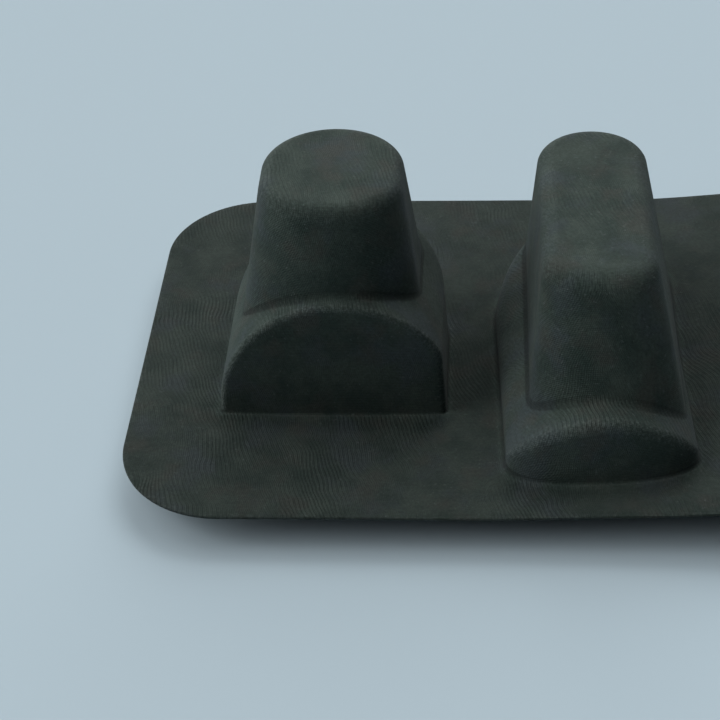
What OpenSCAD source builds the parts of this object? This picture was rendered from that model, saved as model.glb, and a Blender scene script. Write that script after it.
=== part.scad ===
// Packaging inner tray: one thin moulded sheet, shown open side down.
// A flange, bowed up a little at its right end, carries two hollow raised pockets
// that are open from below.
// Each pocket is a long arched shelf with a taller drafted cup rising out of it.
// X runs along the tray, Y from its front edge to its back edge, and Z is up.
// The origin is the middle of the flange's underside.

/* [Flange] */
// Length of the tray along X
tray_w = 208; // [200:1:280]
// Depth of the tray from its front edge to its back edge
tray_d = 150; // [146:1:200]
// Radius of the flange's corners
corner_r = 29; // [10:1:40]
// Thickness of the moulded sheet
wall = 0.8; // [0.6:0.1:1.6]
// Height to which the flange's right end is bowed up
lift = 4; // [0.5:0.5:8]

/* [Left shelf] */
// Distance from the flange's left edge to the shelf
shelf1_left = 26; // [20:0.5:32]
// Distance from the flange's front edge to the shelf
shelf1_front = 42; // [36:0.5:46]
// Width of the shelf at its foot
shelf1_w = 62; // [58:0.5:70]
// Length of the shelf from front to back at its foot
shelf1_d = 62; // [60:0.5:68]
// Height of the shelf at the crown of its arch
shelf1_h = 36; // [30:0.5:42]
// Height of the upright part of the side walls, below the arch
shelf1_rise = 13; // [8:0.5:18]
// Radius of the shelf's upright corners in front
shelf1_front_r = 1.5; // [1:0.25:4]
// Radius of the shelf's upright corners at the back
shelf1_back_r = 14; // [6:0.5:18]
// Slope of the shelf's front and back walls from upright, in degrees
shelf1_end_draft = 3; // [1:0.5:4]
// Radius where the shelf's walls flow into the flange
shelf1_foot_r = 1; // [0.5:0.25:3]

/* [Left cup] */
// Height of the cup above the floor
cup1_h = 61.5; // [54:0.5:68]
// Width of the cup at its top
cup1_w = 38; // [34:0.5:43]
// Length of the cup from front to back at its top
cup1_d = 43; // [36:0.5:44]
// Distance from the shelf's front to the cup at its top
cup1_set_back = 12; // [11:0.5:14]
// Depth of the bow in the cup's front wall
cup1_front_bow = 14; // [8:0.5:18]
// Slope of the cup's front wall from upright, in degrees
cup1_front_draft = 13; // [8:0.5:13]
// Distance of the cup's top to the right of the shelf's middle
cup1_shift = 0.4; // [0:0.1:1.5]
// Shift of the cup's foot toward the left, under its top
cup1_lean = 1; // [0:0.25:2]
// Radius of the rounded edge round the cup's top
cup1_edge_r = 3.5; // [2:0.25:5]

/* [Right shelf] */
// Gap between the two shelves at their feet
shelf_gap = 14.5; // [10:0.5:20]
// Distance from the flange's front edge to the shelf
shelf2_front = 13; // [10:0.5:18]
// Width of the shelf at its foot
shelf2_w = 52.5; // [49:0.5:58]
// Length of the shelf from front to back at its foot
shelf2_d = 114; // [109:0.5:120]
// Height of the shelf at the crown of its arch
shelf2_h = 19.5; // [16:0.5:24]
// Height of the upright part of the side walls, below the arch
shelf2_rise = 4; // [3:0.5:8]
// Length of the rounding at the shelf's front end
shelf2_front_bow = 12; // [6:0.5:20]
// Length of the rounding at the shelf's back end
shelf2_back_bow = 30; // [20:0.5:40]
// Slope of the shelf's front and back walls from upright, in degrees
shelf2_end_draft = 7; // [3:0.5:10]
// Radius where the shelf's walls flow into the flange
shelf2_foot_r = 2.5; // [1:0.25:5]

/* [Right cup] */
// Height of the cup above the floor
cup2_h = 49.5; // [42:0.5:54]
// Width of the cup at its top
cup2_w = 29.5; // [26:0.5:34]
// Length of the cup from front to back at its top
cup2_d = 76; // [68:0.5:78]
// Distance from the shelf's front to the cup at its top
cup2_set_back = 26; // [24:0.5:28]
// Depth of the bow in the cup's front wall
cup2_front_bow = 10; // [6:0.5:14]
// Slope of the cup's front wall from upright, in degrees
cup2_front_draft = 26; // [20:0.5:26]
// Distance of the cup's top to the right of the shelf's middle
cup2_shift = 0.8; // [0:0.1:1.5]
// Shift of the cup's foot toward the right, under its top
cup2_lean = 3; // [0:0.25:4]
// Radius of the rounded edge round the cup's top
cup2_edge_r = 4.5; // [2:0.25:6]

/* [Draft] */
// Slope of the shelves' side walls from upright, in degrees
shelf_side_draft = 3; // [1:0.5:4]
// Slope of the cups' side walls from upright, in degrees
cup_side_draft = 9; // [5:0.5:10]
// Slope of the cups' back walls from upright, in degrees
cup_back_draft = 4; // [2:0.5:5]

/* [Hidden] */
// Points on each quarter of an outline
QUARTER = 9;
// Points on each of the flange's round corners
CORNER = 96;
// Levels in each arch, each rounded edge and each foot
ARCH_LEVELS = 9;
EDGE_LEVELS = 4;
FOOT_LEVELS = 3;
// Share of its width at which an arch is closed with a flat crown
CROWN = 0.12;
// Powers of the outlines: 2 is an ellipse, and more is squarer
ROUND = 2;
FULL = 2.5;
// Straight steps of the bowed stretch, before its round corners and along them
LIFT_STEPS = 4;
TURN_STEPS = 8;
// How far the hollows reach below the flange, to open it
CUT = 2;
// Smallest straight stretch left between two corners of an outline
STRAIGHT = 0.02;
flange_left = -tray_w / 2;
flange_front = -tray_d / 2;
shelf1_x = flange_left + shelf1_left + shelf1_w / 2;
shelf1_y = flange_front + shelf1_front;
shelf2_x = shelf1_x + shelf1_w / 2 + shelf_gap + shelf2_w / 2;
shelf2_y = flange_front + shelf2_front;
flange_right = tray_w / 2;
lift_x = shelf2_x + shelf2_w / 2 + shelf2_foot_r;
turn_x = flange_right - corner_r;

// One quarter of a superellipse about c, from angle a0, for a corner [along X, along Y, power]
function quarter(c, corner, a0) =
    [for (i = [0 : QUARTER - 1])
        let (a = a0 + 90 * i / (QUARTER - 1), u = cos(a), v = sin(a), p = 2 / corner[2])
        [c[0] + corner[0] * sign(u) * pow(abs(u), p),
         c[1] + corner[1] * sign(v) * pow(abs(v), p)]];

// A corner [along X, along Y, power], shrunk in one piece where its wall is too short for it
function fitted(corner, hw, length) =
    let (share = min(1, (hw - STRAIGHT / 2) / corner[0], (length - STRAIGHT) / 2 / corner[1]))
    [corner[0] * share, corner[1] * share, corner[2]];

// Outline of half width hw from y0 to y1, with corners [along X, along Y, power]
function outline(hw, y0, y1, front, back) =
    let (f = fitted(front, hw, y1 - y0), b = fitted(back, hw, y1 - y0))
    concat(
        quarter([hw - b[0], y1 - b[1]], b, 0),
        quarter([b[0] - hw, y1 - b[1]], b, 90),
        quarter([f[0] - hw, y0 + f[1]], f, 180),
        quarter([hw - f[0], y0 + f[1]], f, 270)
    );

// An outline lifted to height z and moved along X
function ring(z, dx, points) = [for (p = points) [p[0] + dx, p[1], z]];

// The convex band between two rings
module band(low, high) {
    points = concat(low, high);
    hull()
        polyhedron(points = points, faces = [[for (i = [0 : len(points) - 1]) i]]);
}

// A form made of one band for each pair of rings
module stack(rings) {
    for (i = [0 : len(rings) - 2])
        band(rings[i], rings[i + 1]);
}

// Heights and outward spread of the foot's fillet, skin inside the outer surface
function foot(r, skin) =
    [for (i = [0 : FOOT_LEVELS])
        let (a = 90 * i / FOOT_LEVELS, rr = r + skin)
        [wall - skin + rr * (1 - cos(a)), rr * (1 - sin(a))]];

// Share of an arched shelf's half width that is left at height z
function arch_share(z, rise, top) =
    let (t = max(0, z - rise) / (top - rise))
    sqrt(max(0, 1 - t * t));

// Arched shelf from height bottom to its crown, skin inside the outer surface
module shelf(w, d, h, rise, front, back, end_draft, foot_r, skin, bottom) {
    top = h - skin;
    base = foot(foot_r, skin);
    arch_z = [for (i = [1 : ARCH_LEVELS])
        let (a = i < ARCH_LEVELS ? 90 * i / ARCH_LEVELS : acos(CROWN))
        rise + (top - rise) * sin(a)];
    levels = concat(
        [[bottom, base[0][1]]],
        base,
        [[rise, 0]],
        [for (z = arch_z) [z, 0]]
    );
    stack([for (level = levels)
        let (
            z = level[0],
            spread = level[1] - skin,
            up = max(z, 0),
            side = w / 2 - skin - up * tan(shelf_side_draft),
            half = side * arch_share(z, rise, top) + level[1],
            near = up * tan(end_draft) - spread,
            grow = [spread, spread, 0]
        )
        ring(z, 0, outline(half, near, d - near, front + grow, back + grow))]);
}

// Drafted cup with a rounded top edge, from height root inside its shelf up,
// skin inside the outer surface and never in front of the shelf's own front wall
module cup(w, d, h, root, shelf_draft, y0, bow, front_draft, shift, lean, edge_r, skin) {
    top = h - skin;
    r = edge_r - skin;
    levels = concat(
        [[root, 0]],
        [for (i = [0 : EDGE_LEVELS])
            let (a = 90 * i / EDGE_LEVELS)
            [top - r + r * sin(a), r * (1 - cos(a))]]
    );
    stack([for (level = levels)
        let (
            z = level[0],
            down = top - z,
            inset = level[1] + skin,
            half = w / 2 - inset + down * tan(cup_side_draft),
            near = max(y0 + inset - down * tan(front_draft), skin + z * tan(shelf_draft)),
            far = y0 + d - inset + down * tan(cup_back_draft)
        )
        ring(z, shift - lean * down / top, outline(half, near, far,
            [half, bow, ROUND], [half, half, ROUND]))]);
}

// Left pocket, skin inside the outer surface and open down to height bottom
module left_pocket(skin, bottom) {
    translate([shelf1_x, shelf1_y, 0]) {
        shelf(shelf1_w, shelf1_d, shelf1_h, shelf1_rise,
            [shelf1_front_r, shelf1_front_r, ROUND], [shelf1_back_r, shelf1_back_r, ROUND],
            shelf1_end_draft, shelf1_foot_r, skin, bottom);
        cup(cup1_w, cup1_d, cup1_h, shelf1_rise, shelf1_end_draft, cup1_set_back,
            cup1_front_bow, cup1_front_draft, cup1_shift, cup1_lean, cup1_edge_r, skin);
    }
}

// Right pocket, skin inside the outer surface and open down to height bottom
module right_pocket(skin, bottom) {
    translate([shelf2_x, shelf2_y, 0]) {
        shelf(shelf2_w, shelf2_d, shelf2_h, shelf2_rise,
            [shelf2_w / 2, shelf2_front_bow, FULL], [shelf2_w / 2, shelf2_back_bow, FULL],
            shelf2_end_draft, shelf2_foot_r, skin, bottom);
        cup(cup2_w, cup2_d, cup2_h, shelf2_rise, shelf2_end_draft, cup2_set_back,
            cup2_front_bow, cup2_front_draft, cup2_shift, -cup2_lean, cup2_edge_r, skin);
    }
}

// Flat part of the flange, with its two round corners at the left
module flat_flange() {
    linear_extrude(wall)
        hull() {
            for (sy = [-1, 1])
                translate([flange_left + corner_r, sy * (tray_d / 2 - corner_r)])
                    circle(r = corner_r, $fn = CORNER);
            translate([0, flange_front])
                square([lift_x, tray_d]);
        }
}

// Section of the bowed stretch at x, half as deep as half, raised by a smooth step
function section(x, half) =
    let (t = (x - lift_x) / (flange_right - lift_x), z = lift * t * t * (3 - 2 * t))
    [[x, half, z], [x, -half, z], [x, -half, z + wall], [x, half, z + wall]];

// Right end of the flange, bowed up, with its two round corners
module bowed_end() {
    stack(concat(
        [for (i = [0 : LIFT_STEPS])
            section(lift_x + (turn_x - lift_x) * i / LIFT_STEPS, tray_d / 2)],
        [for (i = [1 : TURN_STEPS])
            let (a = 90 * i / TURN_STEPS)
            section(turn_x + corner_r * sin(a), tray_d / 2 - corner_r * (1 - cos(a)))]
    ));
}

// The whole moulded sheet: the pockets' outer forms on the flange, less their hollows
module inner_tray() {
    color("#2b302f")
        difference() {
            union() {
                flat_flange();
                bowed_end();
                left_pocket(0, 0);
                right_pocket(0, 0);
            }
            left_pocket(wall, -CUT);
            right_pocket(wall, -CUT);
        }
}

inner_tray();
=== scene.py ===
"""Looks of the packaging inner tray: its moulded sheet, its fibre finish and a plain studio.

The sheet's upper side is one level surface: distances to the flange, the shelves and the cups,
joined by rounded unions. It is sampled along rays that run from each cup's top to the rim.
Lengths are in metres. X runs along the tray, Y from front to back, and Z is up.
"""

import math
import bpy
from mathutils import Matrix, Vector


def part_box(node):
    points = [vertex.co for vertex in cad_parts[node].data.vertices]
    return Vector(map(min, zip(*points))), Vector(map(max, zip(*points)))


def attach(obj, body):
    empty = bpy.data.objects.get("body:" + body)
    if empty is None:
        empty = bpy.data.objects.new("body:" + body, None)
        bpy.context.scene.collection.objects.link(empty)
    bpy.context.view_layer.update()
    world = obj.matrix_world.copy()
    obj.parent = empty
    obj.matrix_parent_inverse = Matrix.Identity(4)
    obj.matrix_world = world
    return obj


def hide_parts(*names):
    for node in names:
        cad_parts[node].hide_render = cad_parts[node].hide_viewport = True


bl_info = {
    "name": "Moulded inner tray",
    "version": (1, 0, 0),
    "blender": (4, 5, 0),
    "location": "3D View > Sidebar > Inner tray",
    "description": "Dresses the packaging inner tray in moulded fibre and sets up its studio",
    "category": "Object",
}

import bmesh
import bpy
import numpy as np
from bpy.props import (BoolProperty, FloatProperty, FloatVectorProperty, IntProperty,
                       PointerProperty)
from bpy.types import Operator, Panel, PropertyGroup
from mathutils import Matrix, Vector

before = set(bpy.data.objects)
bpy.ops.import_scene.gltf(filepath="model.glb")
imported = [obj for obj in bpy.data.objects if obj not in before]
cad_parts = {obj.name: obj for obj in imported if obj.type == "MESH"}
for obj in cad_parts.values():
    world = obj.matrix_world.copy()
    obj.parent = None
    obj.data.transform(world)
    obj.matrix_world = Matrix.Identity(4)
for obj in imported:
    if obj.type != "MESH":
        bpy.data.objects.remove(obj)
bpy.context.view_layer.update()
TRAY_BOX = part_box("inner_tray")
LIGHTS = ("key", "side", "back", "top", "left", "right")


# Settings

def size(name, description, default):
    """A length that can be set in the sidebar."""
    return FloatProperty(name=name, description=description, default=default,
                         precision=5, unit="LENGTH")


def number(name, description, default):
    """A plain number that can be set in the sidebar."""
    return FloatProperty(name=name, description=description, default=default, precision=4)


def angle(name, description, degrees):
    """An angle that can be set in the sidebar."""
    return FloatProperty(name=name, description=description, default=math.radians(degrees),
                         precision=5, unit="ROTATION")


def colour(name, description, default):
    """A linear colour that can be set in the sidebar."""
    return FloatVectorProperty(name=name, description=description, default=default,
                               size=3, min=0.0, max=1.0, subtype="COLOR")


class SheetSettings(PropertyGroup):
    """The moulded sheet and its flange"""
    wall: size("Wall", "Thickness of the moulded sheet", 0.0008)
    corner: size("Corner radius", "Radius of the flange's corners", 0.029)
    rim: size("Rim rounding", "Radius of the sheet's rounded upper edge", 0.0003)
    divide: size("Divide", "Place along X of the line between the two pockets", -0.00925)
    lift: size("Right lift", "How far the flange's right end is bowed up", 0.004)
    lift_start: size("Lift start", "Place along X where the right end starts to rise", 0.032)
    front_lift: size("Front lift", "How far the front edge is bowed up at the right", 0.0013)
    front_lift_run: size("Front lift run", "Length along X in which that bow rises", 0.055)
    front_lift_depth: size("Front lift depth", "Depth along Y in which it rises", 0.034)
    sway: size("Sway", "Height of the flange's slow unevenness", 0.0003)
    bead: size("Bead", "Height of the fine bead in front of each pocket's foot", 0.0005)
    bead_width: size("Bead width", "Half width of that bead", 0.0006)
    dip: size("Dip", "Depth of the hollow in front of the bead", 0.0005)
    dip_width: size("Dip width", "Length of that hollow", 0.0055)
    # Painted shade: the run over which the flange's darkening, which stands in for the pockets' shade
    # on it, fades in
    blend: size("Blend", "Distance over which the flange's darker tint fades in", 0.003)
    rays: IntProperty(name="Steps", description="Samples along the line between the pockets",
                      default=120)
    stations: IntProperty(name="Stations", description="Samples along each ray", default=91)


class LeftPocketSettings(PropertyGroup):
    """The left pocket: a short arched shelf and a round cup"""
    centre: size("Centre", "Middle of the shelf's foot along X", -0.047)
    front: size("Front", "Front of the shelf's foot along Y", -0.0335)
    shelf_width: size("Shelf width", "Width of the shelf at its foot", 0.0632)
    shelf_length: size("Shelf length", "Length of the shelf at its foot", 0.0625)
    shelf_height: size("Shelf height", "Height of the arch's crown", 0.0368)
    shelf_rise: size("Shelf rise", "Height of the upright part of the shelf's sides", 0.0115)
    arch_power: number("Arch power", "Squareness of the arch's section", 2.0)
    shelf_skew: size("Shelf skew", "Distance of the arch's crown to the right", 0.0022)
    shelf_turn: angle("Shelf turn", "Turn of the shelf, its front end to the right", 0.0)
    flat_front: BoolProperty(name="Flat front", description="Whether the shelf's front is flat",
                             default=True)
    front_bow: size("Front bow", "Depth of the shelf front's rounding in plan", 0.0008)
    front_power: number("Front power", "Squareness of the shelf's front in plan", 2.0)
    back_bow: size("Back bow", "Depth of the shelf back's rounding in plan", 0.028)
    back_power: number("Back power", "Squareness of the shelf's back in plan", 2.2)
    front_edge: size("Front edge", "Radius of the shelf's front edge", 0.0017)
    back_edge: size("Back edge", "Radius of the shelf's back edge", 0.006)
    end_draft: angle("End draft", "Slope of the shelf's ends from upright", 3.0)
    side_draft: angle("Side draft", "Slope of the shelf's sides from upright", 3.0)
    foot: size("Foot", "Radius of the fillet at the shelf's foot", 0.0009)
    cup_width: size("Cup width", "Width of the cup at its top", 0.0385)
    cup_length: size("Cup length", "Length of the cup at its top", 0.0435)
    cup_height: size("Cup height", "Height of the cup", 0.0615)
    cup_back: size("Cup setback", "Distance from the shelf's front to the cup's top", 0.0118)
    cup_bow: size("Cup bow", "Depth of the cup front's rounding", 0.016)
    cup_power: number("Cup power", "Squareness of the cup's front in plan", 2.0)
    cup_front_draft: angle("Cup front draft", "Slope of the cup's front from upright", 13.0)
    cup_side_draft: angle("Cup side draft", "Slope of the cup's sides from upright", 8.8)
    cup_back_draft: angle("Cup back draft", "Slope of the cup's back from upright", 4.0)
    cup_shift: size("Cup shift", "Distance of the cup's top to the right", 0.0004)
    cup_lean: size("Cup lean", "Shift of the cup's foot to the left", 0.001)
    cup_front_edge: size("Cup front edge", "Radius of the cup's upper edge in front", 0.0055)
    cup_edge: size("Cup edge", "Radius of the cup's upper edge elsewhere", 0.0036)
    cup_foot: size("Cup foot", "Radius of the fillet between cup and shelf", 0.0024)


class RightPocketSettings(PropertyGroup):
    """The right pocket: a long low shelf and a long cup"""
    centre: size("Centre", "Middle of the shelf's foot along X", 0.02475)
    front: size("Front", "Front of the shelf's foot along Y", -0.0625)
    shelf_width: size("Shelf width", "Width of the shelf at its foot", 0.0515)
    shelf_length: size("Shelf length", "Length of the shelf at its foot", 0.105)
    shelf_height: size("Shelf height", "Height of the arch's crown", 0.0203)
    shelf_rise: size("Shelf rise", "Height of the upright part of the shelf's sides", 0.004)
    arch_power: number("Arch power", "Squareness of the arch's section", 1.75)
    shelf_skew: size("Shelf skew", "Distance of the arch's crown to the right", 0.0)
    shelf_turn: angle("Shelf turn", "Turn of the shelf, its front end to the right", 2.2)
    flat_front: BoolProperty(name="Flat front", description="Whether the shelf's front is flat",
                             default=False)
    front_bow: size("Front bow", "Depth of the shelf front's rounding in plan", 0.0105)
    front_power: number("Front power", "Squareness of the shelf's front in plan", 2.5)
    back_bow: size("Back bow", "Depth of the shelf back's rounding in plan", 0.036)
    back_power: number("Back power", "Squareness of the shelf's back in plan", 2.0)
    front_edge: size("Front edge", "Radius of the shelf's front edge", 0.0034)
    back_edge: size("Back edge", "Radius of the shelf's back edge", 0.006)
    end_draft: angle("End draft", "Slope of the shelf's ends from upright", 7.0)
    side_draft: angle("Side draft", "Slope of the shelf's sides from upright", 3.0)
    foot: size("Foot", "Radius of the fillet at the shelf's foot", 0.0014)
    cup_width: size("Cup width", "Width of the cup at its top", 0.030)
    cup_length: size("Cup length", "Length of the cup at its top", 0.0765)
    cup_height: size("Cup height", "Height of the cup", 0.0495)
    cup_back: size("Cup setback", "Distance from the shelf's front to the cup's top", 0.026)
    cup_bow: size("Cup bow", "Depth of the cup front's rounding", 0.0125)
    cup_power: number("Cup power", "Squareness of the cup's front in plan", 2.15)
    cup_front_draft: angle("Cup front draft", "Slope of the cup's front from upright", 26.0)
    cup_side_draft: angle("Cup side draft", "Slope of the cup's sides from upright", 8.8)
    cup_back_draft: angle("Cup back draft", "Slope of the cup's back from upright", 4.0)
    cup_shift: size("Cup shift", "Distance of the cup's top to the right", 0.0007)
    cup_lean: size("Cup lean", "Shift of the cup's foot to the left", -0.003)
    cup_front_edge: size("Cup front edge", "Radius of the cup's upper edge in front", 0.011)
    cup_edge: size("Cup edge", "Radius of the cup's upper edge elsewhere", 0.0046)
    cup_foot: size("Cup foot", "Radius of the fillet between cup and shelf", 0.0032)


class FibreSettings(PropertyGroup):
    """The dyed fibre's colours and relief, and the painted shade and light laid on it"""
    deep: colour("Deep", "Colour of the densest fibre", (0.020, 0.0315, 0.0270))
    pale: colour("Pale", "Colour of the palest fibre", (0.0375, 0.0515, 0.0440))
    cool: colour("Cool", "Bluish tint of some patches", (0.034, 0.045, 0.048))
    warm: colour("Warm", "Greyish tint of some patches", (0.037, 0.0415, 0.036))
    worn: colour("Worn", "Colour of rubbed edges", (0.072, 0.088, 0.083))
    speck: colour("Speck", "Colour of the palest loose fibres", (0.085, 0.100, 0.098))
    # Painted shade: the flange's colour keeps only this share, standing in for the shade that the
    # pockets cast on it
    flange: number("Flange", "Share of its brightness that the flange's colour keeps", 0.73)
    # Painted light: the pockets' upward-facing tops are made paler by this share, where the light
    # falls most
    crown: number("Crown", "Share by which the pockets' tops are paler", 0.15)
    # Painted shade: the creases at the pockets' sides keep only this share of their brightness
    crease: number("Crease", "Share of its brightness that a crease at a pocket's side keeps", 0.5)
    roughness: number("Roughness", "Roughness of the fibre", 0.9)
    mesh_pitch: size("Screen pitch", "Distance between the forming screen's wires", 0.0007)
    wire_pitch: size("Wire pitch", "Distance between the long wavy lines", 0.0012)
    screen_depth: size("Screen depth", "Depth of the screen's print", 0.00006)
    wire_depth: size("Wire depth", "Depth of the long wavy lines", 0.00008)


class StudioSettings(PropertyGroup):
    """Floor, lights and camera"""
    floor: colour("Floor", "Colour of the floor", (0.413, 0.508, 0.565))
    support: size("Support", "Height of the hidden support that the tray stands on", 0.009)
    support_inset: size("Support inset", "How far the support stays inside the flange", 0.036)
    floor_size: size("Floor size", "Length of the floor's sides", 6.0)
    sky: number("Sky", "Strength of the even light from all round", 0.02)
    key: number("Key", "Strength of the soft light from the left and a little in front", 1.45)
    key_turn: angle("Key turn", "Its direction, from the back toward the left", 106.0)
    key_height: angle("Key height", "Its height above the floor", 36.0)
    key_spread: angle("Key spread", "Its angular size", 42.0)
    side: number("Side", "Strength of the soft light from the left", 1.1)
    side_turn: angle("Side turn", "Its direction, from the back toward the left", 65.0)
    side_height: angle("Side height", "Its height above the floor", 47.0)
    side_spread: angle("Side spread", "Its angular size", 50.0)
    back: number("Back", "Strength of the soft light from behind", 1.92)
    back_turn: angle("Back turn", "Its direction, from the back toward the left", -8.0)
    back_height: angle("Back height", "Its height above the floor", 38.0)
    back_spread: angle("Back spread", "Its angular size", 48.0)
    top: number("Top", "Strength of the soft light from above", 0.35)
    top_turn: angle("Top turn", "Its direction, from the back toward the left", -50.0)
    top_height: angle("Top height", "Its height above the floor", 60.0)
    top_spread: angle("Top spread", "Its angular size", 40.0)
    left: number("Left", "Strength of the low light from the left", 0.75)
    left_turn: angle("Left turn", "Its direction, from the back toward the left", 75.0)
    left_height: angle("Left height", "Its height above the floor", 9.0)
    left_spread: angle("Left spread", "Its angular size", 24.0)
    right: number("Right", "Strength of the low light from the right", 0.12)
    right_turn: angle("Right turn", "Its direction, from the back toward the left", -100.0)
    right_height: angle("Right height", "Its height above the floor", 10.0)
    right_spread: angle("Right spread", "Its angular size", 24.0)
    camera_x: size("Camera X", "Place of the camera along X", -0.005375)
    camera_y: size("Camera Y", "Place of the camera along Y", -0.419707)
    camera_z: size("Camera Z", "Place of the camera along Z", 0.325461)
    camera_pitch: angle("Camera pitch", "How far the camera looks down", 38.183)
    camera_yaw: angle("Camera yaw", "How far the camera is turned to the left", 4.9296)
    camera_roll: angle("Camera roll", "Roll of the camera", -2.9719)
    lens: FloatProperty(name="Lens", description="Focal length on a 36 mm wide film",
                        default=90.7525, precision=4, unit="CAMERA")


# Distances: a field is a pair, the distance to a surface and its unit normal, for many points

# Softness of the corner where the cup's front line meets the shelf's
LINE_SOFTNESS = 0.002
# Share of the arch's span above the rise at which the skew is complete
SKEW_SPAN = 5 / 7
# Slow waves of the flange: rates along X and Y in radians per metre, and a phase
FLANGE_WAVES = ((61, 23, 0.4), (-34, 71, 1.9), (97, -41, 2.7))


def field(value, gradient):
    """A level function and its gradient, both divided by the gradient's length."""
    length = np.sqrt((gradient ** 2).sum(0))
    return value / length, gradient / length


def rounded_intersection(a, b, radius):
    """What lies inside both fields, with its edge rounded to a radius.

    In the wedge between the two normals the surface is a circle that touches both planes: with
    A and B the distances from its centre along the normals, the offset w from the centre is the
    mix of the two normals whose products with them are A and B. Outside the wedge the larger
    distance holds.
    """
    distance_a, normal_a = a
    distance_b, normal_b = b
    cosine = np.clip((normal_a * normal_b).sum(0), -0.9999, 0.9999)
    along_a = distance_a + radius
    along_b = distance_b + radius
    share_a = (along_a - cosine * along_b) / (1 - cosine ** 2)
    share_b = (along_b - cosine * along_a) / (1 - cosine ** 2)
    offset = share_a * normal_a + share_b * normal_b
    length = np.maximum(np.sqrt((offset ** 2).sum(0)), 1e-9)
    wedge = (share_a > 0) & (share_b > 0)
    distance = np.where(wedge, length - radius, np.maximum(distance_a, distance_b))
    normal = np.where(wedge, offset / length, np.where(distance_a > distance_b, normal_a, normal_b))
    return distance, normal


def rounded_union(a, b, radius):
    """What lies inside either field, with the inner corner filled to a radius."""
    inverse_a = (-a[0], -a[1])
    inverse_b = (-b[0], -b[1])
    distance, normal = rounded_intersection(inverse_a, inverse_b, radius)
    return -distance, -normal


def smooth_step(value, low, high):
    """From 0 at low to 1 at high by the cubic t t (3 - 2 t)."""
    t = np.clip((value - low) / (high - low), 0, 1)
    return t * t * (3 - 2 * t)


def step_slope(value, low, high):
    """Slope of the smooth step, 6 t (1 - t) over its run."""
    t = np.clip((value - low) / (high - low), 0, 1)
    return 6 * t * (1 - t) / (high - low)


def smooth_bump(value, middle):
    """From 0 at 0 and at twice the middle to 1 at the middle, by the smooth step."""
    return smooth_step(1 - np.abs(value - middle) / middle, 0, 1)


def soft_larger(a, b, softness):
    """The larger of two lines in z, each a pair of value and slope, with a soft corner."""
    gap = np.sqrt((a[0] - b[0]) ** 2 + softness ** 2)
    value = (a[0] + b[0] + gap) / 2
    slope = (a[1] + b[1] + (a[0] - b[0]) * (a[1] - b[1]) / gap) / 2
    return value, slope


def superellipse(u, v, power, gradient_u, gradient_v):
    """The field (|u|^p + v^p)^(1/p) - 1, for v of zero or more."""
    reach = np.maximum((np.abs(u) ** power + v ** power) ** (1 / power), 1e-6)
    share_u = (np.abs(u) / reach) ** (power - 1) * np.sign(u)
    share_v = (v / reach) ** (power - 1)
    return field(reach - 1, share_u * gradient_u + share_v * gradient_v)


def end_field(x, y, half, edge, toward, bow, power):
    """A bowed end wall: across it u = x / half, along it v = distance past the bow's start / bow.

    half and edge are pairs of value and slope in z, and toward is -1 in front and 1 at the back.
    """
    u = x / half[0]
    depth = (toward * (y - edge[0]) + bow) / bow
    v = np.maximum(depth, 0)
    live = depth > 0
    zero = np.zeros_like(x)
    gradient_u = np.stack([1 / half[0] + zero, zero, -u * half[1] / half[0]])
    gradient_v = np.stack([zero, np.where(live, toward / bow, 0),
                           np.where(live, -toward * edge[1] / bow, 0)])
    return superellipse(u, v, power, gradient_u, gradient_v)


def flat_end_field(x, y, half, edge, bow):
    """A nearly flat front wall: its line in plan is edge + bow (x / half) squared."""
    u = x / half[0]
    zero = np.zeros_like(x)
    value = edge[0] + bow * u * u - y
    return field(value, np.stack([2 * bow * u / half[0], zero - 1, edge[1] + zero]))


def arch_field(x, z, half, rise, top, skew, power):
    """An arched section: upright drafted sides below the rise, then a superellipse up to the top.

    Its middle moves to the right by skew between the rise's middle and the haunch of the arch.
    """
    span = top - rise
    haunch = rise / 2 + span * SKEW_SPAN
    middle = skew * smooth_step(z, rise / 2, haunch)
    middle_slope = skew * step_slope(z, rise / 2, haunch)
    u = (x - middle) / half[0]
    height = np.maximum((z - rise) / span, 0)
    zero = np.zeros_like(x)
    gradient_u = np.stack([1 / half[0] + zero, zero,
                           -middle_slope / half[0] - u * half[1] / half[0]])
    gradient_v = np.stack([zero, zero, np.where(z > rise, 1 / span, 0)])
    return superellipse(u, height, power, gradient_u, gradient_v)


def shelf_field(p, x, y, z):
    """An arched shelf: its arch, cut by a back wall and then by a front wall, with rounded edges."""
    half = (p.shelf_width / 2 - z * math.tan(p.side_draft), -math.tan(p.side_draft))
    draft = math.tan(p.end_draft)
    arch = arch_field(x, z, half, p.shelf_rise, p.shelf_height, p.shelf_skew, p.arch_power)
    if p.flat_front:
        front = flat_end_field(x, y, half, (z * draft, draft), p.front_bow)
    else:
        front = end_field(x, y, half, (z * draft, draft), -1, p.front_bow, p.front_power)
    back = end_field(x, y, half, (p.shelf_length - z * draft, -draft), 1,
                     p.back_bow, p.back_power)
    return rounded_intersection(rounded_intersection(arch, back, p.back_edge),
                                front, p.front_edge)


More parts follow.
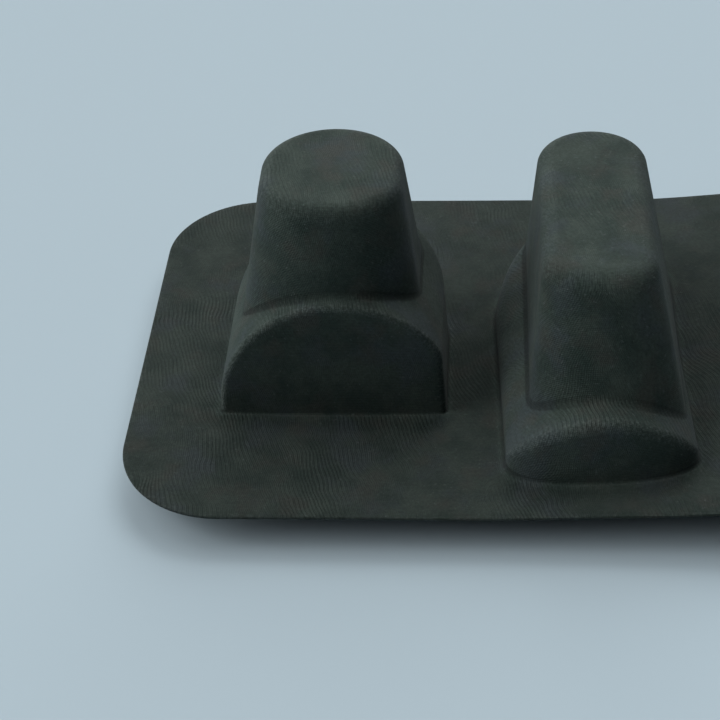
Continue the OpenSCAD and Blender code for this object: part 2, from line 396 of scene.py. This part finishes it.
def cup_field(p, x, y, z):
    """A drafted cup with a bowed front, a round back and a rounded upper edge.

    Its front stays behind the shelf's own front wall, by a soft maximum of the two lines.
    """
    down = p.cup_height - z
    flare = math.tan(p.cup_side_draft)
    half = (p.cup_width / 2 + down * flare, -flare)
    middle = (p.cup_shift - p.cup_lean * down / p.cup_height, p.cup_lean / p.cup_height)
    slant = math.tan(p.cup_front_draft)
    shelf_slant = math.tan(p.end_draft)
    inset = 2 * p.front_edge
    near = soft_larger((p.cup_back - down * slant, slant),
                       (inset + z * shelf_slant, shelf_slant), LINE_SOFTNESS)
    back_slant = math.tan(p.cup_back_draft)
    far = (p.cup_back + p.cup_length + down * back_slant, -back_slant)
    back_bow = p.cup_width / 2
    u = (x - middle[0]) / half[0]
    front_depth = (near[0] + p.cup_bow - y) / p.cup_bow
    back_depth = (y - far[0] + back_bow) / back_bow
    in_front = front_depth > 0
    at_back = back_depth > 0
    v = np.maximum(np.maximum(front_depth, back_depth), 0)
    zero = np.zeros_like(x)
    gradient_u = np.stack([1 / half[0] + zero, zero,
                           -middle[1] / half[0] - u * half[1] / half[0]])
    gradient_v = np.stack([
        zero,
        np.where(in_front, -1 / p.cup_bow, np.where(at_back, 1 / back_bow, 0)),
        np.where(in_front, near[1] / p.cup_bow, np.where(at_back, -far[1] / back_bow, 0))])
    power = np.where(in_front, p.cup_power, 2.0)
    walls = superellipse(u, v, power, gradient_u, gradient_v)
    top = (z - p.cup_height, np.stack([zero, zero, zero + 1]))
    facing = np.clip(-walls[1][1], 0, 1) ** 2
    edge = p.cup_edge + (p.cup_front_edge - p.cup_edge) * facing
    return rounded_intersection(walls, top, edge)


def turned(x, y, turn):
    """A plan vector in axes that are turned clockwise, or turned back by the negative angle."""
    return (x * math.cos(turn) + y * math.sin(turn), y * math.cos(turn) - x * math.sin(turn))


def pocket_field(p, x, y, z):
    """Shelf and cup of one pocket, joined by a fillet. The shelf may be turned about its middle."""
    across = x - p.centre
    along = y - p.front
    turned_across, turned_along = turned(across, along - p.shelf_length / 2, p.shelf_turn)
    distance, normal = shelf_field(p, turned_across, turned_along + p.shelf_length / 2, z)
    back = turned(normal[0], normal[1], -p.shelf_turn)
    shelf = (distance, np.stack([*back, normal[2]]))
    return rounded_union(shelf, cup_field(p, across, along, z), p.cup_foot)


def flange_field(s, x, y, z, pocket):
    """The flange's upper side: one wall up, bowed up at the right and a little in front.

    Both bows are smooth steps: one of x, and one of x times one of y. A slow unevenness is added,
    a sum of sines. In front of the pocket's foot the flange rises to a fine bead and then dips,
    both of them smooth bumps of the distance to the pocket. The normal follows the right end's
    bow alone, because the rest is nearly level.
    """
    end = TRAY_BOX[1].x
    half_depth = TRAY_BOX[1].y
    bow = s.lift * smooth_step(x, s.lift_start, end)
    bow_slope = s.lift * step_slope(x, s.lift_start, end)
    bow = bow + (s.front_lift * smooth_step(x, s.divide, s.divide + s.front_lift_run)
                 * smooth_step(-y, half_depth - s.front_lift_depth, half_depth))
    wave = sum(np.sin(along * x + across * y + phase) for along, across, phase in FLANGE_WAVES)
    sway = s.sway * (wave + len(FLANGE_WAVES)) / (2 * len(FLANGE_WAVES))
    facing = np.clip(-pocket[1][1], 0, 1) ** 2
    relief = facing * (s.bead * smooth_bump(pocket[0], 2 * s.bead_width)
                       - s.dip * smooth_bump(pocket[0], s.dip_width))
    top = s.wall + bow + sway + relief
    zero = np.zeros_like(x)
    return field(z - top, np.stack([-bow_slope, zero, zero + 1]))


def tray_field(s, p, x, y, z):
    """Upper side of the whole sheet round one pocket, with the fillet at the pocket's foot."""
    pocket = pocket_field(p, x, y, z)
    return rounded_union(flange_field(s, x, y, z, pocket), pocket, p.foot)


# Sampling

# Step along the rim as a share of the step along the dividing line
RIM_STEP = 0.85
# Places on a ray where the height is first found, and rounds of halving at each
COARSE_PLACES = 300
HALVINGS = 16
# How far the search for the height starts below the floor and above the cup
SEARCH_MARGIN = 0.002
# Even places on a ray from which its turning is measured, and how many are averaged
FINE_PLACES = 420
TURN_WINDOW = 9
# Length and turn that each count as one step of the final spacing
STEP_LENGTH = 0.0026
STEP_TURN = math.radians(9)
# Offset of the differences that give the surface's convexity
DIFFERENCE = 0.0004


def rim_path(s, side, steps):
    """Outline of one end of the flange, from the dividing line's back end round to its front end.

    A straight back edge, a quarter circle, the straight end, a quarter circle and the front
    edge. side is -1 for the left end and 1 for the right. Returns the points and their
    outward normals.
    """
    low, high = TRAY_BOX
    half_depth = (high.y - low.y) / 2 - s.rim
    end = (high.x if side > 0 else low.x) - side * s.rim
    radius = s.corner - s.rim
    pitch = 2 * half_depth / steps
    straight = np.arange(-half_depth, half_depth + pitch / 2, pitch)
    straight = straight[np.abs(straight) <= half_depth - radius]
    reach = abs(end - s.divide) - radius
    run = reach + radius * math.pi / 2 + (half_depth - radius - straight[-1])
    count = int(round(run / (RIM_STEP * pitch)))
    travel = np.linspace(0, run, count, endpoint=False)
    turn = np.clip((travel - reach) / radius, 0, math.pi / 2)
    past = np.maximum(travel - reach - radius * math.pi / 2, 0)
    x = s.divide + side * (np.minimum(travel, reach) + radius * np.sin(turn))
    y = half_depth - radius * (1 - np.cos(turn)) - past
    normal = np.stack([side * np.sin(turn), np.cos(turn)])
    straight_part = np.stack([np.full_like(straight, end), straight[::-1]])
    straight_normal = np.stack([np.full_like(straight, side), np.zeros_like(straight)])
    back = np.stack([x, y])
    flip = np.array([[1], [-1]])
    points = np.concatenate([back, straight_part, (back * flip)[:, ::-1]], axis=1)
    normals = np.concatenate([normal, straight_normal, (normal * flip)[:, ::-1]], axis=1)
    return points, normals


def ray_ends(s, p, side):
    """Starts on the cup's middle line, ends on the outline, and the rim's own part and normals.

    The outline is closed by the dividing line, stepped evenly from front to back. Each ray starts
    at the point of the middle line that is nearest along Y to its end.
    """
    low, high = TRAY_BOX
    half_depth = (high.y - low.y) / 2 - s.rim
    rim, normals = rim_path(s, side, s.rays)
    dividing = np.linspace(-half_depth, half_depth, s.rays + 1)[1:-1]
    line = np.stack([np.full_like(dividing, s.divide), dividing])
    ends = np.concatenate([rim, line], axis=1)
    start_y = p.front + p.cup_back + p.cup_bow
    stop_y = p.front + p.cup_back + p.cup_length - p.cup_width / 2
    pitch = 2 * half_depth / s.rays
    start_y = round(start_y / pitch) * pitch
    stop_y = round(stop_y / pitch) * pitch
    starts = np.stack([np.full(ends.shape[1], p.centre + p.cup_shift),
                       np.clip(ends[1], start_y, stop_y)])
    return starts, ends, normals


def resample(measure, values, count):
    """Values at even steps of each row's measure, by one interpolation over the rows end to end."""
    rows = len(measure)
    offset = 2.0 * np.arange(rows)[:, None]
    share = (measure - measure[:, :1]) / (measure[:, -1:] - measure[:, :1]) + offset
    wanted = np.linspace(0, 1, count)[None] + offset
    return [np.interp(wanted.ravel(), share.ravel(), value.ravel()).reshape(rows, count)
            for value in values]


def settle(s, p, points, rounds):
    """Newton steps along the normal onto the surface. The first and last of a row move only in z."""
    for _ in range(rounds):
        distance, normal = tray_field(s, p, *points)
        move = distance * normal
        for place in (0, -1):
            move[:2, :, place] = 0
            move[2, :, place] = distance[:, place] / normal[2, :, place]
        points = points - move
    return points, tray_field(s, p, *points)[1]


def ray_grid(s, p, starts, ends):
    """Points of the surface, one row for each ray, denser where the surface turns.

    The height over each of many even places is found by halving an interval. The profile is then
    stepped evenly by its own length, settled, and stepped again by a measure that adds its length
    to the angle that it turns through.
    """
    share = np.linspace(0, 1, COARSE_PLACES)[None, :]
    x = starts[0][:, None] + (ends[0] - starts[0])[:, None] * share
    y = starts[1][:, None] + (ends[1] - starts[1])[:, None] * share
    low = np.full_like(x, -SEARCH_MARGIN)
    high = np.full_like(x, p.cup_height + SEARCH_MARGIN)
    for _ in range(HALVINGS):
        middle = (low + high) / 2
        above = tray_field(s, p, x, y, middle)[0] > 0
        high = np.where(above, middle, high)
        low = np.where(above, low, middle)
    points = np.stack([x, y, (low + high) / 2])

    def walked(grid):
        steps = np.sqrt((np.diff(grid, axis=2) ** 2).sum(0))
        return np.concatenate([np.zeros((grid.shape[1], 1)), np.cumsum(steps, axis=1)], axis=1)

    points = np.stack(resample(walked(points), points, FINE_PLACES))
    points, normal = settle(s, p, points, rounds=3)
    cosine = np.clip((normal[:, :, 1:] * normal[:, :, :-1]).sum(0), -1, 1)
    turn = np.concatenate([np.zeros((points.shape[1], 1)), np.arccos(cosine)], axis=1)
    window = np.hanning(TURN_WINDOW)
    kernel = window / window.sum()
    smooth = np.apply_along_axis(np.convolve, 1, turn, kernel, "same")
    measure = walked(points) / STEP_LENGTH + np.cumsum(smooth, axis=1) / STEP_TURN
    points = np.stack(resample(measure, points, s.stations))
    return settle(s, p, points, rounds=4)


def convexity(s, p, points):
    """Divergence of the unit normal, by central differences: more than 0 on edges, less in hollows."""
    total = np.zeros(points.shape[1:])
    for axis in range(3):
        shift = np.zeros((3, 1, 1))
        shift[axis] = DIFFERENCE
        ahead = tray_field(s, p, *(points + shift))[1][axis]
        behind = tray_field(s, p, *(points - shift))[1][axis]
        total += (ahead - behind) / (2 * DIFFERENCE)
    return total


# Meshes

# The rim's section in rim radii: 30, 60 and 90 degrees of the upper round, and the lower round
RIM_OUT = (0.5, 0.87, 1.0, 1.0, 0.6)
RIM_DOWN = (0.13, 0.5, 1.0)
LOWER_ROUND = 0.4
# Radius of bend that counts as a full edge, and how much stronger hollows count in the painted crease
# shade
FULL_EDGE = 0.0022
CREASE_SHADE_GAIN = 1.5
# Wear of the rim
RIM_WEAR = 0.8
# Points nearer than this are merged, and slivers thinner than the second are dissolved
WELD = 2e-6
SLIVER = 1e-7


def grid_triangles(rows, columns, first, closed, flip):
    """Two triangles for each cell of a grid whose points are numbered row by row from first."""
    count = rows if closed else rows - 1
    row = np.arange(count)[:, None]
    column = np.arange(columns - 1)[None, :]
    after = (row + 1) % rows
    a = first + row * columns + column
    b = first + after * columns + column
    c = b + 1
    d = a + 1
    quads = np.stack([a, b, c, d], axis=-1).reshape(-1, 4)
    if flip:
        quads = quads[:, ::-1]
    return np.concatenate([quads[:, [0, 1, 2]], quads[:, [0, 2, 3]]])


def pocket_shell(s, p, side):
    """Vertices, triangles and masks of one end of the tray: upper side, rounded rim and underside.

    The underside is the upper side moved one wall along its normal, on every second ray and
    station, and kept above the floor. The rim's section is a quarter circle, a straight edge and
    a small round.
    """
    starts, ends, rim_normals = ray_ends(s, p, side)
    grid, normal = ray_grid(s, p, starts, ends)
    rays, stations = grid.shape[1:]
    edge = np.clip(convexity(s, p, grid) * FULL_EDGE, -1, 1)
    # Painted shade mask: hollows on sideways-facing walls, where the creases at the pockets' sides are
    # shaded
    crease = np.clip(-edge * CREASE_SHADE_GAIN, 0, 1) * np.sqrt(np.abs(normal[0]))
    # 1 on the pockets and 0 on the flange; the material paints shade on the flange and light on the
    # pockets' tops by it
    raised = 1 - smooth_step(pocket_field(p, *grid)[0], 0.0, s.blend)
    rim_count = rim_normals.shape[1]
    outside = grid[:, :rim_count, -1]
    profile_out = s.rim * np.array(RIM_OUT)
    profile_down = np.array([*(s.rim * share for share in RIM_DOWN),
                             s.wall - s.rim * LOWER_ROUND, s.wall])
    ring_x = outside[0][:, None] + rim_normals[0][:, None] * profile_out
    ring_y = outside[1][:, None] + rim_normals[1][:, None] * profile_out
    ring_z = outside[2][:, None] - profile_down
    rings = np.stack([ring_x, ring_y, ring_z])
    strip = np.concatenate([outside[:, :, None], rings], axis=2)
    inner = (grid - s.wall * normal)[:, ::2, ::2]
    inner[2] = np.maximum(inner[2], 0)
    inner_rays, inner_stations = inner.shape[1:]
    flat = [part.reshape(3, -1).T for part in (grid, strip, inner)]
    first_strip = len(flat[0])
    first_inner = first_strip + len(flat[1])
    turned = side < 0
    triangles = [
        grid_triangles(rays, stations, 0, True, turned),
        grid_triangles(rim_count, strip.shape[2], first_strip, False, turned),
        grid_triangles(inner_rays, inner_stations, first_inner, True, not turned),
    ]
    pairs = np.arange((rim_count - 1) // 2)
    width = strip.shape[2]
    left = first_strip + 2 * pairs * width + width - 1
    middle = left + width
    right = middle + width
    under = first_inner + pairs * inner_stations + inner_stations - 1
    after = under + inner_stations
    fan = np.concatenate([np.stack([left, middle, under], 1),
                          np.stack([middle, after, under], 1),
                          np.stack([middle, right, after], 1)])
    triangles.append(fan[:, ::-1] if turned else fan)

    def mask(upper, rim, under):
        return np.concatenate([upper.ravel(), np.full(len(flat[1]), rim),
                               np.full(len(flat[2]), under)])

    # Masks for the finish; the crease mask carries painted shade, and raised and level carry the
    # flange's painted shade and the tops' painted light
    masks = {
        "edge": mask(edge, RIM_WEAR, 0.0),
        "raised": mask(raised, 0.0, 1.0),
        "crease": mask(crease, 0.0, 0.0),
        "level": mask(normal[2], 1.0, 0.0),
    }
    return np.concatenate(flat), np.concatenate(triangles), masks


def tray_mesh(s, pockets):
    """One welded mesh of both ends, with its masks for the finish and for its painted shade and light
    as attributes.
    """
    vertices = []
    triangles = []
    masks = []
    first = 0
    for p, side in pockets:
        points, faces, mask = pocket_shell(s, p, side)
        vertices.append(points)
        triangles.append(faces + first)
        masks.append(mask)
        first += len(points)
    mesh = bpy.data.meshes.new("moulded_sheet")
    mesh.from_pydata(np.concatenate(vertices).tolist(), [],
                     np.concatenate(triangles).tolist())
    for name in masks[0]:
        layer = mesh.attributes.new(name, "FLOAT", "POINT")
        values = np.concatenate([mask[name] for mask in masks])
        layer.data.foreach_set("value", values.astype(np.float32))
    shell = bmesh.new()
    shell.from_mesh(mesh)
    bmesh.ops.remove_doubles(shell, verts=shell.verts, dist=WELD)
    bmesh.ops.dissolve_degenerate(shell, edges=shell.edges, dist=SLIVER)
    shell.to_mesh(mesh)
    shell.free()
    mesh.shade_smooth()
    mesh.update()
    return mesh


# Finish

# How far noise bends and ripples the screen's long lines, and how they lean along Y and Z
BEND_REACH = 0.012
RIPPLE_REACH = 0.0011
LEAN_ALONG_Y = 0.3
LEAN_ALONG_Z = 0.06
# Share of the weave's rate that each of its two crossed directions takes
CROSSED = 0.71
# Heights of the matted fibre's coarse and fine relief
FLECK_HEIGHT = 0.00012
FUZZ_HEIGHT = 0.00007
# Strength of the finish's tints and shades
COOL_SHARE = 0.75
WARM_SHARE = 0.7
SPECK_SHARE = 0.35
LINE_SHADE = 0.06
DARKEST_FLECK = 0.8
FLECK_SHADE = 0.4


def link(tree, source, target):
    """Joins two sockets of a node tree."""
    tree.links.new(source, target)


def math_node(tree, operation, first, second=None):
    """A Math node whose inputs are sockets or numbers. Returns its output."""
    node = tree.nodes.new("ShaderNodeMath")
    node.operation = operation
    for socket, value in zip(node.inputs, (first, second)):
        if value is None:
            continue
        if isinstance(value, (int, float)):
            socket.default_value = value
        else:
            link(tree, value, socket)
    return node.outputs[0]


def noise_node(tree, vector, scale, detail, roughness):
    """A Noise Texture over a vector. Returns its value output."""
    node = tree.nodes.new("ShaderNodeTexNoise")
    node.inputs["Scale"].default_value = scale
    node.inputs["Detail"].default_value = detail
    node.inputs["Roughness"].default_value = roughness
    link(tree, vector, node.inputs["Vector"])
    return node.outputs["Fac"]


def mask_node(tree, name):
    """The value output of one of the mesh's masks."""
    node = tree.nodes.new("ShaderNodeAttribute")
    node.attribute_name = name
    return node.outputs["Fac"]


def range_node(tree, value, low, high, new_low=0.0, new_high=1.0):
    """A smooth Map Range node. Returns its output."""
    node = tree.nodes.new("ShaderNodeMapRange")
    node.interpolation_type = "SMOOTHSTEP"
    node.inputs["From Min"].default_value = low
    node.inputs["From Max"].default_value = high
    node.inputs["To Min"].default_value = new_low
    node.inputs["To Max"].default_value = new_high
    link(tree, value, node.inputs["Value"])
    return node.outputs["Result"]


def mix_colour(tree, factor, first, second):
    """A colour Mix node whose inputs are sockets or colours. Returns its output."""
    node = tree.nodes.new("ShaderNodeMix")
    node.data_type = "RGBA"
    for name, value in (("Factor", factor), ("A", first), ("B", second)):
        socket = next(i for i in node.inputs if i.name == name and i.enabled)
        if isinstance(value, bpy.types.NodeSocket):
            link(tree, value, socket)
        elif name == "Factor":
            socket.default_value = value
        else:
            socket.default_value = (*value, 1.0)
    return next(o for o in node.outputs if o.enabled)


def screen_print_group(f):
    """Height of the forming screen's print: a fine crossed weave and long wavy lines.

    The weave is the product of two sines across the wires. The lines are a sine of X that noise
    bends, a broad noise fades them in and out, and they die away on upright walls and at the right.
    """
    tree = bpy.data.node_groups.new("Screen print", "ShaderNodeTree")
    tree.interface.new_socket("Vector", in_out="INPUT", socket_type="NodeSocketVector")
    tree.interface.new_socket("Level", in_out="INPUT", socket_type="NodeSocketFloat")
    tree.interface.new_socket("Height", in_out="OUTPUT", socket_type="NodeSocketFloat")
    tree.interface.new_socket("Lines", in_out="OUTPUT", socket_type="NodeSocketFloat")
    inside = tree.nodes.new("NodeGroupInput")
    outside = tree.nodes.new("NodeGroupOutput")
    vector = inside.outputs["Vector"]
    split = tree.nodes.new("ShaderNodeSeparateXYZ")
    link(tree, vector, split.inputs[0])
    x, y, z = split.outputs
    bend = math_node(tree, "MULTIPLY", noise_node(tree, vector, scale=30.0, detail=2.0,
                                                  roughness=0.5), BEND_REACH)
    ripple = math_node(tree, "MULTIPLY", noise_node(tree, vector, scale=210.0, detail=2.0,
                                                    roughness=0.5), RIPPLE_REACH)
    lean = math_node(tree, "ADD", math_node(tree, "MULTIPLY", y, LEAN_ALONG_Y),
                     math_node(tree, "MULTIPLY", z, LEAN_ALONG_Z))
    across = math_node(tree, "ADD", math_node(tree, "ADD", x, lean),
                       math_node(tree, "ADD", bend, ripple))
    lines = math_node(tree, "SINE", math_node(tree, "MULTIPLY", across,
                                              2 * math.pi / f.wire_pitch))
    rate = 2 * math.pi / f.mesh_pitch * CROSSED
    first = math_node(tree, "SINE", math_node(
        tree, "MULTIPLY", math_node(tree, "ADD", across, y), rate))
    second = math_node(tree, "SINE", math_node(
        tree, "MULTIPLY", math_node(tree, "SUBTRACT", math_node(tree, "ADD", y, z), across), rate))
    weave = math_node(tree, "MULTIPLY", first, second)
    broad = noise_node(tree, vector, scale=26.0, detail=1.0, roughness=0.5)
    patchy = math_node(tree, "MULTIPLY", range_node(tree, broad, 0.36, 0.62),
                       range_node(tree, x, 0.035, 0.075, 1.0, 0.3))
    shown = math_node(tree, "MULTIPLY", patchy,
                      range_node(tree, inside.outputs["Level"], 0.35, 0.9, 0.02, 1.0))
    faded = math_node(tree, "MULTIPLY", lines, shown)
    height = math_node(tree, "ADD", math_node(tree, "MULTIPLY", weave, f.screen_depth),
                       math_node(tree, "MULTIPLY", faded, f.wire_depth))
    link(tree, height, outside.inputs["Height"])
    link(tree, faded, outside.inputs["Lines"])
    return tree


def fibre_group():
    """Clouds, patches and flecks of matted fibre, and their height, from noise at several scales."""
    tree = bpy.data.node_groups.new("Matted fibre", "ShaderNodeTree")
    tree.interface.new_socket("Vector", in_out="INPUT", socket_type="NodeSocketVector")
    for name in ("Clouds", "Cool patches", "Warm patches", "Flecks", "Specks", "Height"):
        tree.interface.new_socket(name, in_out="OUTPUT", socket_type="NodeSocketFloat")
    inside = tree.nodes.new("NodeGroupInput")
    outside = tree.nodes.new("NodeGroupOutput")
    vector = inside.outputs["Vector"]
    cloud_noise = noise_node(tree, vector, scale=95.0, detail=5.0, roughness=0.62)
    cool_noise = noise_node(tree, vector, scale=62.0, detail=4.0, roughness=0.6)
    moved = tree.nodes.new("ShaderNodeVectorMath")
    moved.operation = "ADD"
    moved.inputs[1].default_value = (0.37, 0.11, 0.53)
    link(tree, vector, moved.inputs[0])
    warm_noise = noise_node(tree, moved.outputs[0], scale=85.0, detail=4.0, roughness=0.6)
    speck_noise = noise_node(tree, moved.outputs[0], scale=950.0, detail=2.0, roughness=0.5)
    flecks = noise_node(tree, vector, scale=1300.0, detail=3.0, roughness=0.7)
    fuzz = noise_node(tree, vector, scale=3200.0, detail=2.0, roughness=0.6)
    for name, noise, low, high in (("Clouds", cloud_noise, 0.3, 0.7),
                                   ("Cool patches", cool_noise, 0.48, 0.66),
                                   ("Warm patches", warm_noise, 0.5, 0.68),
                                   ("Specks", speck_noise, 0.63, 0.74),
                                   ("Flecks", flecks, 0.3, 0.7)):
        link(tree, range_node(tree, noise, low, high), outside.inputs[name])
    height = math_node(tree, "ADD", math_node(tree, "MULTIPLY", flecks, FLECK_HEIGHT),
                       math_node(tree, "MULTIPLY", fuzz, FUZZ_HEIGHT))
    link(tree, height, outside.inputs["Height"])
    return tree


def moulded_fibre(f):
    """Dyed moulded fibre: mottled dark green-grey, felt-like, printed by its screen.

    Its tint is multiplied by flecks and lines, by painted shade that darkens the flange and the
    creases at the pockets' sides, and by painted light that makes the pockets' upward-facing tops
    paler.
    """
    material = bpy.data.materials.new("moulded_fibre")
    material.use_nodes = True
    tree = material.node_tree
    shader = tree.nodes["Principled BSDF"]
    place = tree.nodes.new("ShaderNodeTexCoord").outputs["Object"]
    edge, raised, level, crease = (mask_node(tree, name)
                                   for name in ("edge", "raised", "level", "crease"))
    fibre = tree.nodes.new("ShaderNodeGroup")
    fibre.node_tree = fibre_group()
    link(tree, place, fibre.inputs["Vector"])
    prints = tree.nodes.new("ShaderNodeGroup")
    prints.node_tree = screen_print_group(f)
    link(tree, place, prints.inputs["Vector"])
    link(tree, level, prints.inputs["Level"])
    base = mix_colour(tree, fibre.outputs["Clouds"], f.deep, f.pale)
    cool = math_node(tree, "MULTIPLY", fibre.outputs["Cool patches"], COOL_SHARE)
    warm = math_node(tree, "MULTIPLY", fibre.outputs["Warm patches"], WARM_SHARE)
    tinted = mix_colour(tree, warm, mix_colour(tree, cool, base, f.cool), f.warm)
    rubbed = math_node(tree, "MULTIPLY", range_node(tree, edge, 0.12, 1.0),
                       range_node(tree, fibre.outputs["Flecks"], 0.3, 0.9, 0.08, 0.42))
    specks = math_node(tree, "MULTIPLY", fibre.outputs["Specks"], SPECK_SHARE)
    worn = mix_colour(tree, specks, mix_colour(tree, rubbed, tinted, f.worn), f.speck)
    flecks = math_node(tree, "MULTIPLY", fibre.outputs["Flecks"], FLECK_SHADE)
    shade = math_node(tree, "ADD", DARKEST_FLECK, flecks)
    lines = math_node(tree, "MULTIPLY", prints.outputs["Lines"], LINE_SHADE)
    # Painted light: upward-facing parts of the pockets are made paler
    crown = math_node(tree, "MULTIPLY", raised, range_node(tree, level, 0.6, 1.0, 0.0, f.crown))
    # Painted light and shade: the flange is darkened and the pockets' upward-facing tops are made
    # paler
    painted_light_and_shade = math_node(tree, "ADD", crown, range_node(tree, raised, 0.0, 1.0, f.flange, 1.0))
    # Painted shade: the creases at the pockets' sides are darkened
    crease_shaded = math_node(tree, "MULTIPLY", painted_light_and_shade,
                        range_node(tree, crease, 0.05, 0.9, 1.0, f.crease))
    brightness = math_node(tree, "MULTIPLY", math_node(tree, "ADD", shade, lines), crease_shaded)
    final = tree.nodes.new("ShaderNodeVectorMath")
    final.operation = "SCALE"
    link(tree, worn, final.inputs[0])
    link(tree, brightness, final.inputs["Scale"])
    link(tree, final.outputs[0], shader.inputs["Base Color"])
    bump = tree.nodes.new("ShaderNodeBump")
    bump.inputs["Strength"].default_value = 1.0
    bump.inputs["Distance"].default_value = 1.0
    link(tree, math_node(tree, "ADD", fibre.outputs["Height"], prints.outputs["Height"]),
         bump.inputs["Height"])
    link(tree, bump.outputs["Normal"], shader.inputs["Normal"])
    shader.inputs["Roughness"].default_value = f.roughness
    shader.inputs["Specular IOR Level"].default_value = 0.12
    shader.inputs["Sheen Weight"].default_value = 0.04
    shader.inputs["Sheen Roughness"].default_value = 0.5
    return material


def floor_material(st):
    """A pale matt floor."""
    material = bpy.data.materials.new("studio_floor")
    material.use_nodes = True
    shader = material.node_tree.nodes["Principled BSDF"]
    shader.inputs["Base Color"].default_value = (*st.floor, 1.0)
    shader.inputs["Roughness"].default_value = 0.95
    shader.inputs["Specular IOR Level"].default_value = 0.0
    return material


# Operators

class TRAY_OT_sheet(Operator):
    """Build the moulded sheet and give it its fibre finish"""
    bl_idname = "inner_tray.sheet"
    bl_label = "Moulded sheet"

    def execute(self, context):
        scene = context.scene
        pockets = ((scene.tray_left_pocket, -1), (scene.tray_right_pocket, 1))
        mesh = tray_mesh(scene.tray_sheet, pockets)
        mesh.materials.append(moulded_fibre(scene.tray_fibre))
        sheet = bpy.data.objects.new("moulded_sheet", mesh)
        scene.collection.objects.link(sheet)
        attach(sheet, "root")
        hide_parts("inner_tray")
        return {"FINISHED"}


class TRAY_OT_studio(Operator):
    """Lay the floor, hang the soft lights and place the camera"""
    bl_idname = "inner_tray.studio"
    bl_label = "Studio"

    def execute(self, context):
        scene = context.scene
        st = scene.tray_studio
        self.lay_floor(scene, st)
        self.light_world(scene, st)
        for name in LIGHTS:
            self.hang_sun(scene, name, *(getattr(st, name + part)
                                         for part in ("", "_spread", "_turn", "_height")))
        self.place_camera(scene, st)
        scene.view_settings.view_transform = "Standard"
        return {"FINISHED"}

    def lay_floor(self, scene, st):
        """A flat floor, and a low block hidden under the flange that the tray lies on."""
        low, high = TRAY_BOX
        material = floor_material(st)
        span = st.floor_size / 2
        inset = st.support_inset
        self.lay_block(scene, material, "studio_floor", (-span, -span, -span / 100),
                       (span, span, 0), -st.support)
        self.lay_block(scene, material, "studio_support",
                       (low.x + inset, low.y + inset, -st.support),
                       (high.x - inset, high.y - inset, 0), 0)

    def lay_block(self, scene, material, name, low, high, height):
        """A plain block between two corners, moved up by height."""
        shell = bmesh.new()
        bmesh.ops.create_cube(shell, size=1.0)
        for vertex in shell.verts:
            vertex.co = [l + (h - l) * (c + 0.5) for l, h, c in zip(low, high, vertex.co)]
            vertex.co.z += height
        mesh = bpy.data.meshes.new(name)
        shell.to_mesh(mesh)
        shell.free()
        mesh.materials.append(material)
        block = bpy.data.objects.new(name, mesh)
        scene.collection.objects.link(block)

    def light_world(self, scene, st):
        """An even sky that shows as the floor's colour."""
        world = bpy.data.worlds.new("studio_sky")
        world.use_nodes = True
        tree = world.node_tree
        background = tree.nodes["Background"]
        rays = tree.nodes.new("ShaderNodeLightPath")
        through = math_node(tree, "MAXIMUM", rays.outputs["Is Glossy Ray"],
                            rays.outputs["Is Transmission Ray"])
        seen = math_node(tree, "MAXIMUM", rays.outputs["Is Camera Ray"], through)
        link(tree, mix_colour(tree, seen, (1.0, 1.0, 1.0), st.floor), background.inputs["Color"])
        link(tree, range_node(tree, seen, 0.0, 1.0, st.sky, 1.0), background.inputs["Strength"])
        scene.world = world

    def hang_sun(self, scene, name, strength, spread, turn, height):
        """A soft distant light. turn goes from the back toward the left."""
        lamp = bpy.data.lights.new(name + "_light", "SUN")
        lamp.energy = strength
        lamp.angle = spread
        holder = bpy.data.objects.new(name + "_light", lamp)
        toward = Vector((-math.sin(turn) * math.cos(height), math.cos(turn) * math.cos(height),
                         math.sin(height)))
        holder.matrix_world = toward.to_track_quat("Z", "Y").to_matrix().to_4x4()
        scene.collection.objects.link(holder)

    def place_camera(self, scene, st):
        """The photograph's viewpoint: turned, pitched and rolled about its own place."""
        lens = bpy.data.cameras.new("camera")
        lens.sensor_width = 36.0
        lens.lens = st.lens
        lens.clip_start = 0.01
        camera = bpy.data.objects.new("camera", lens)
        turn = (Matrix.Rotation(st.camera_yaw, 4, "Z")
                @ Matrix.Rotation(math.pi / 2 - st.camera_pitch, 4, "X")
                @ Matrix.Rotation(st.camera_roll, 4, "Z"))
        place = Matrix.Translation((st.camera_x, st.camera_y, st.camera_z))
        camera.matrix_world = place @ turn
        scene.collection.objects.link(camera)
        scene.camera = camera


class TRAY_PT_panel(Panel):
    """The tray's operators and its settings"""
    bl_idname = "TRAY_PT_panel"
    bl_label = "Inner tray"
    bl_space_type = "VIEW_3D"
    bl_region_type = "UI"
    bl_category = "Inner tray"

    def draw(self, context):
        for operator in OPERATORS:
            self.layout.operator(operator.bl_idname)
        for name, group in SETTINGS.items():
            box = self.layout.box()
            box.label(text=group.__doc__)
            for key in group.__annotations__:
                box.prop(getattr(context.scene, name), key)


OPERATORS = (TRAY_OT_studio, TRAY_OT_sheet)
SETTINGS = {
    "tray_sheet": SheetSettings,
    "tray_left_pocket": LeftPocketSettings,
    "tray_right_pocket": RightPocketSettings,
    "tray_fibre": FibreSettings,
    "tray_studio": StudioSettings,
}


def register():
    """Adds the settings, operators and panel to Blender."""
    for group in SETTINGS.values():
        bpy.utils.register_class(group)
    for name, group in SETTINGS.items():
        setattr(bpy.types.Scene, name, PointerProperty(type=group))
    for operator in OPERATORS:
        bpy.utils.register_class(operator)
    bpy.utils.register_class(TRAY_PT_panel)


def unregister():
    """Takes the settings, operators and panel out again."""
    bpy.utils.unregister_class(TRAY_PT_panel)
    for operator in reversed(OPERATORS):
        bpy.utils.unregister_class(operator)
    for name, group in reversed(SETTINGS.items()):
        delattr(bpy.types.Scene, name)
        bpy.utils.unregister_class(group)


def main():
    """Builds the studio and the tray."""
    register()
    bpy.ops.inner_tray.studio()
    bpy.ops.inner_tray.sheet()


if __name__ == "__main__":
    main()
